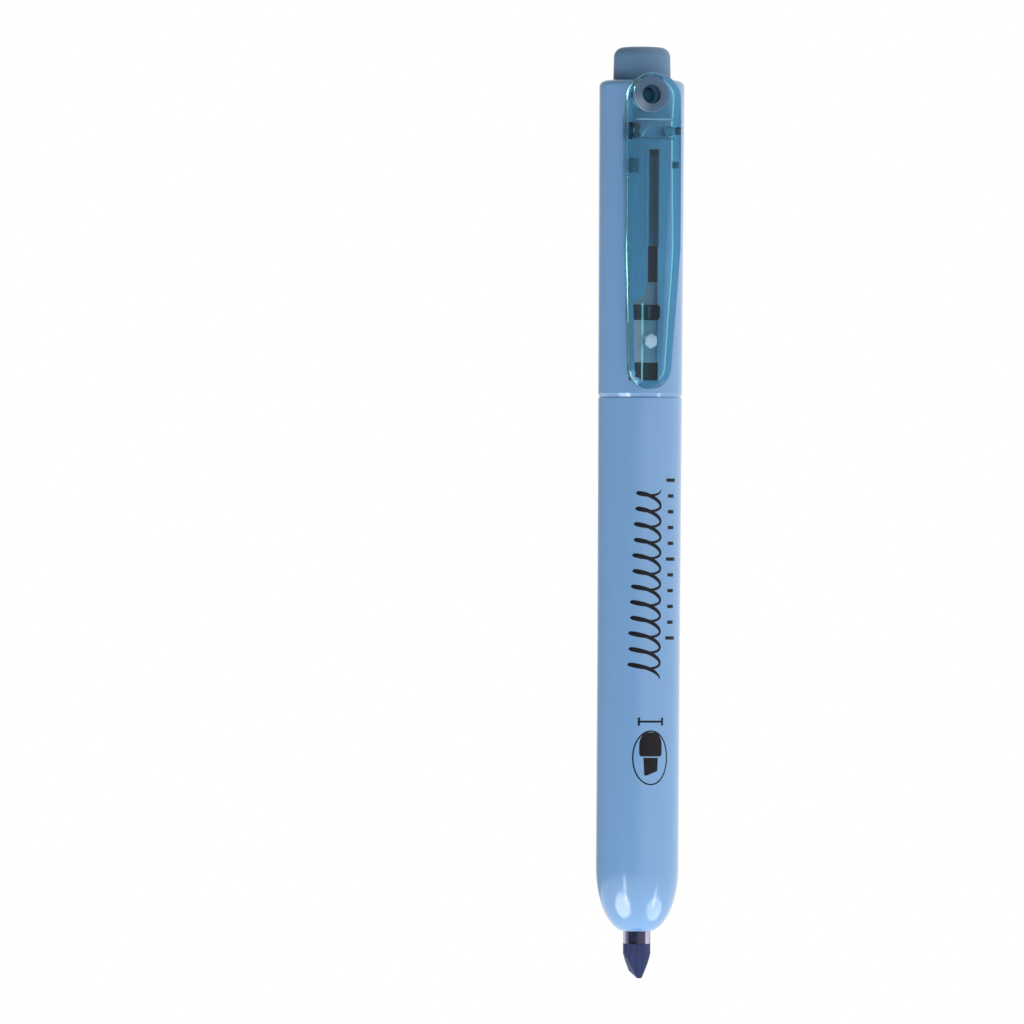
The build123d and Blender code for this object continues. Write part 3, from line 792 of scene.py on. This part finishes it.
def barrel_radius(z):
    """The front barrel's outer radius above the nose."""
    if z <= GRIP_TOP_Z:
        return GRIP_R
    share = (z - GRIP_TOP_Z) / (SEAM_Z - GRIP_TOP_Z)
    return GRIP_R + (SEAM_R - GRIP_R) * share


def on_barrel(u, z, lift):
    """A point u metres round the barrel from the print's middle line, at height z."""
    radius = barrel_radius(z)
    angle = PRINT_ANGLE + u / radius
    return (math.cos(angle) * (radius + lift), math.sin(angle) * (radius + lift), z)


def stroke(name, path, widths, closed=False):
    """A printed line: a thin strip of ink wrapped on the barrel, along (u, z) points."""
    count = len(path)
    rings = []
    for i, (u, z) in enumerate(path):
        if closed:
            before, after = path[i - 1], path[(i + 1) % count]
        else:
            before, after = path[max(i - 1, 0)], path[min(i + 1, count - 1)]
        du, dz = after[0] - before[0], after[1] - before[1]
        length = math.hypot(du, dz) or 1.0
        nu, nz = -dz / length, du / length
        half = widths[i] / 2
        a = (u + nu * half, z + nz * half)
        b = (u - nu * half, z - nz * half)
        corners = ((a, -INK_T), (a, INK_T), (b, INK_T), (b, -INK_T))
        rings.append([on_barrel(*place, lift) for place, lift in corners])
    return make_object(name, loft(rings, closed_loop=closed), ink_black, smooth_angle=30)


def filled(name, outline):
    """A printed solid shape, convex across u at every height, given as (z, u_low, u_high) rows."""
    columns = 10
    rings = []
    for z, low, high in outline:
        line = [low + (high - low) * i / columns for i in range(columns + 1)]
        upper = [on_barrel(u, z, INK_T) for u in line]
        lower = [on_barrel(u, z, -INK_T) for u in line]
        rings.append(upper + lower[::-1])
    return make_object(name, loft(rings), ink_black, smooth_angle=30)


def printed(piece):
    """Makes a piece of print ride on the barrel, as part of its skin."""
    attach(piece, "barrel")


def scribble():
    """A long wavy test stroke up the barrel: leaning waves that die down, thick on the way down."""
    rng = random.Random(7)
    waves, steps = 12, 26
    top_at_start, top_at_end, unevenness = 3.0, 1.8, 0.15
    foot = 1.9
    lean, loop, middle = 0.2, 0.6 * MM, 0.6
    thin, swell = 0.36 * MM, 0.2 * MM
    end_size, end_steps = 0.4, 8
    tops = []
    for wave in range(waves):
        top = top_at_start + (top_at_end - top_at_start) * wave / waves
        tops.append(top + rng.uniform(-unevenness, unevenness))
    path, widths = [], []
    count = waves * steps
    for k in range(count + 1):
        phase = 2 * math.pi * k / steps
        swing = math.cos(phase)
        reach = foot if swing > 0 else tops[min(k // steps, waves - 1)]
        u = SCRIPT_U + (middle + reach * swing) * MM
        z = SCRIPT_LOW_Z + SCRIPT_LENGTH * k / count + loop * math.sin(phase) - lean * (u - SCRIPT_U)
        path.append((u, z))
        taper = min(1.0, end_size + min(k, count - k) / end_steps)
        widths.append((thin + swell * max(0.0, math.sin(phase))) * taper)
    return stroke("scribble_print", path, widths)


def scale_ticks():
    """A column of short printed ticks, like a ruler's, beside the scribble."""
    ticks, long_every, points = 11, 5, 9
    for index in range(ticks):
        z = TICKS_LOW_Z + TICK_STEP * index
        half = LONG_TICK_HALF if index % long_every == 0 else TICK_HALF
        path = [(TICKS_U + half * (2 * k / (points - 1) - 1), z) for k in range(points)]
        printed(stroke(f"tick_print_{index}", path, [TICK_W] * points))


def width_mark():
    """A short bar between two end ticks: the usual sign for a width."""
    bar_points, end_points = 9, 7
    across = [ICON_U + WIDTH_MARK_HALF * (2 * k / (bar_points - 1) - 1) for k in range(bar_points)]
    bar = [(u, WIDTH_MARK_Z) for u in across]
    printed(stroke("width_bar_print", bar, [BAR_W] * bar_points))
    for end_name, side in (("left", -1), ("right", 1)):
        u = ICON_U + side * WIDTH_MARK_HALF
        end = [(u, WIDTH_MARK_Z + BAR_END_HALF * (2 * k / (end_points - 1) - 1)) for k in range(end_points)]
        printed(stroke(f"width_end_print_{end_name}", end, [BAR_END_W] * end_points))


def nib_icon():
    """An oval with a plain marker tip in it: a rounded block over a slanted one."""
    oval_points, block_rows, tip_rows = 72, 17, 9
    oval = []
    for k in range(oval_points):
        angle = 2 * math.pi * k / oval_points
        oval.append((ICON_U + OVAL_HALF_W * math.cos(angle), ICON_Z + OVAL_HALF_H * math.sin(angle)))
    printed(stroke("icon_oval_print", oval, [OVAL_W] * oval_points, closed=True))

    block_half, block_low, block_height = 1.78 * MM, 0.2 * MM, 3.6 * MM
    foot_cut, foot_until = 0.25 * MM, 0.08
    shoulder_cut, shoulder_from, shoulder_curve = 0.85 * MM, 0.45, 2.4
    rows = []
    for k in range(block_rows):
        share = k / (block_rows - 1)
        foot = foot_cut * max(0.0, 1 - share / foot_until)
        past = max(0.0, (share - shoulder_from) / (1 - shoulder_from))
        shoulder = shoulder_cut * past**shoulder_curve
        half = block_half - foot - shoulder
        rows.append((ICON_Z + block_low + block_height * share, ICON_U - half, ICON_U + half))
    printed(filled("icon_block_print", rows))

    tip_half, tip_flare, tip_height = 1.0 * MM, 0.14 * MM, 2.65 * MM
    slant_cut, slant_until = 1.6 * MM, 0.25
    rows = []
    for k in range(tip_rows):
        share = k / (tip_rows - 1)
        half = tip_half + tip_flare * share
        cut = slant_cut * max(0.0, 1 - share / slant_until)
        rows.append((ICON_Z - tip_height * (1 - share), ICON_U - half, ICON_U + half - cut))
    printed(filled("icon_tip_print", rows))


# ---------------------------------------------------------------- build the pieces

nib = nib_piece()
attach(nib, "mechanism")
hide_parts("nib")

flange = seal_ring()
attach(flange, "barrel")
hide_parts("slit_seal")
for lip_name, lip_side in (("seal_lip_front", -1), ("seal_lip_back", 1)):
    lip = seal_lip(lip_name, lip_side)
    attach(lip, "barrel")
    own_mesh(lip)

spring_start = (0, 0, RETURN_SPRING_LOW.z)
spring_length = RETURN_SPRING_HIGH.z - RETURN_SPRING_LOW.z
spring_place = Matrix.Translation(spring_start)
spring = coil_mesh("refill_spring", spring_steel, spring_length, spring_place, **RETURN_SPRING)
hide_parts("return_spring")
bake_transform(spring)

head_start = (BOSS_X, CLIP_SPRING_HIGH.y, BOSS_Z)
head_length = CLIP_SPRING_HIGH.y - CLIP_SPRING_LOW.y
head_place = Matrix.Translation(head_start) @ Matrix.Rotation(math.pi / 2, 4, "X")
head_spring = coil_mesh("head_spring", spring_steel, head_length, head_place, **HEAD_SPRING)
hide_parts("clip_spring")
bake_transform(head_spring)

for bead_name, bead_z, bead_side in (("low", RECESS_LOW_Z, 1), ("high", RECESS_TOP_Z, -1)):
    bead = recess_bead(f"recess_bead_{bead_name}", bead_z, bead_side)
    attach(bead, "clip")

# Each side's name, direction, pin finish, pin head radius, knuckle finish and half the knuckle's height. The
# dark finishes, the wide left pin head and the knuckles paint the shade in the hinge's cavities.
HINGE_SIDES = (
    ("left", -1, hinge_shade_plastic, 1.35 * MM, hinge_shade_plastic, 1.2 * MM),
    ("right", 1, snap_shade_plastic, 0.58 * MM, dark_acetal, 0.8 * MM),
)
for side_name, side, pin_finish, head_r, knuckle_finish, half_h in HINGE_SIDES:
    pin = hinge_pin(f"hinge_pin_{side_name}", pin_finish, side, head_r)
    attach(pin, "clip")
    knuckle = hinge_shade_knuckle(f"hinge_knuckle_{side_name}", knuckle_finish, side, half_h)
    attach(knuckle, "barrel")

# Dark blocks inside the clip's snap blocks: painted shade of the cavities beneath
for shade_side, shade_low, shade_high in SNAP_SHADE_BLOCKS:
    shade_piece = rounded_block(f"snap_core_{shade_side}", snap_shade_plastic, shade_low, shade_high, SHADE_BLOCK_CORNER, SHADE_BLOCK_ENDS)
    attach(shade_piece, "clip")

insert = painted_highlight_hex()
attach(insert, "clip")

printed(scribble())
scale_ticks()
width_mark()
nib_icon()


# ---------------------------------------------------------------- stage, lights and camera


def backdrop():
    """A plain pale floor, far enough down to leave the view."""
    bm = bmesh.new()
    bmesh.ops.create_circle(bm, cap_ends=True, radius=FLOOR_R, segments=96)
    floor = make_object("floor", bm, floor_paper("floor_paper"), smooth_angle=40)
    floor.location.z = TIP_Z - FLOOR_DROP


def studio():
    """White surroundings, darker to the pen's left as with a black card there; the backdrop stays white."""
    world = bpy.data.worlds.new("studio")
    bpy.context.scene.world = world
    world.use_nodes = True
    nodes = world.node_tree.nodes
    links = world.node_tree.links
    place = nodes.new("ShaderNodeTexCoord")
    split = nodes.new("ShaderNodeSeparateXYZ")
    level = nodes.new("ShaderNodeMapRange")
    level.interpolation_type = "SMOOTHSTEP"
    level.inputs["From Min"].default_value = DARK_AT_X
    level.inputs["From Max"].default_value = BRIGHT_AT_X
    level.inputs["To Min"].default_value = DARK_SIDE * STUDIO_LEVEL
    level.inputs["To Max"].default_value = STUDIO_LEVEL
    path = nodes.new("ShaderNodeLightPath")
    strength = nodes.new("ShaderNodeMath")
    strength.operation = "MAXIMUM"
    links.new(place.outputs["Generated"], split.inputs["Vector"])
    links.new(split.outputs["X"], level.inputs["Value"])
    links.new(level.outputs["Result"], strength.inputs[0])
    links.new(path.outputs["Is Camera Ray"], strength.inputs[1])
    nodes["Background"].inputs["Color"].default_value = (1, 1, 1, 1)
    links.new(strength.outputs["Value"], nodes["Background"].inputs["Strength"])
    bpy.context.scene.view_settings.view_transform = "Standard"


def softbox(name, azimuth, elevation, size, power):
    """An oval softbox that looks at the nose, placed by its angles from the camera's side."""
    light = bpy.data.lights.new(name, "AREA")
    light.shape = "ELLIPSE"
    light.size, light.size_y = size
    light.energy = power
    turn = CAMERA_AZIMUTH + math.radians(azimuth)
    tilt = math.radians(elevation)
    away = Vector((math.sin(turn) * math.cos(tilt), -math.cos(turn) * math.cos(tilt), math.sin(tilt)))
    lamp = bpy.data.objects.new(name, light)
    lamp.location = LAMP_TARGET + away * LAMP_DISTANCE
    lamp.rotation_mode = "QUATERNION"
    lamp.rotation_quaternion = away.to_track_quat("Z", "Y")
    lamp.visible_camera = False
    bpy.context.scene.collection.objects.link(lamp)
    return lamp


def light_only(lamp, piece):
    """Keeps a lamp's light on one piece, as a small reflector held close to it would."""
    lit = bpy.data.collections.new(f"{lamp.name}_lights")
    lit.objects.link(piece)
    lamp.light_linking.receiver_collection = lit


def place_camera():
    """A long lens, level with the pen and a little to its left."""
    data = bpy.data.cameras.new("camera")
    camera = bpy.data.objects.new("camera", data)
    bpy.context.scene.collection.objects.link(camera)
    bpy.context.scene.camera = camera
    data.sensor_width = SENSOR_WIDTH
    data.lens = SENSOR_WIDTH * CAMERA_DISTANCE / FRAME_HEIGHT
    data.clip_end = CAMERA_CLIP_END
    away = Vector((math.sin(CAMERA_AZIMUTH), -math.cos(CAMERA_AZIMUTH), 0))
    right = Vector((math.cos(CAMERA_AZIMUTH), math.sin(CAMERA_AZIMUTH), 0))
    camera.location = away * CAMERA_DISTANCE + right * OFFSET_RIGHT + Vector((0, 0, CENTRE_Z))
    camera.rotation_mode = "QUATERNION"
    camera.rotation_quaternion = away.to_track_quat("Z", "Y") @ Quaternion((0, 0, 1), CAMERA_ROLL)


backdrop()
studio()
softbox("left_box", azimuth=-55, elevation=-39, size=(0.44, 0.3), power=1.55)
softbox("left_strip", azimuth=-37, elevation=-22, size=(0.07, 0.3), power=0.22)
softbox("right_box", azimuth=71, elevation=-41, size=(0.5, 0.28), power=1.1)
softbox("right_strip", azimuth=59, elevation=-27, size=(0.07, 0.2), power=0.14)
glint = softbox("clip_glint", azimuth=-109, elevation=31, size=(0.14, 0.42), power=1.1)
light_only(glint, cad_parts["pocket_clip"])
place_camera()
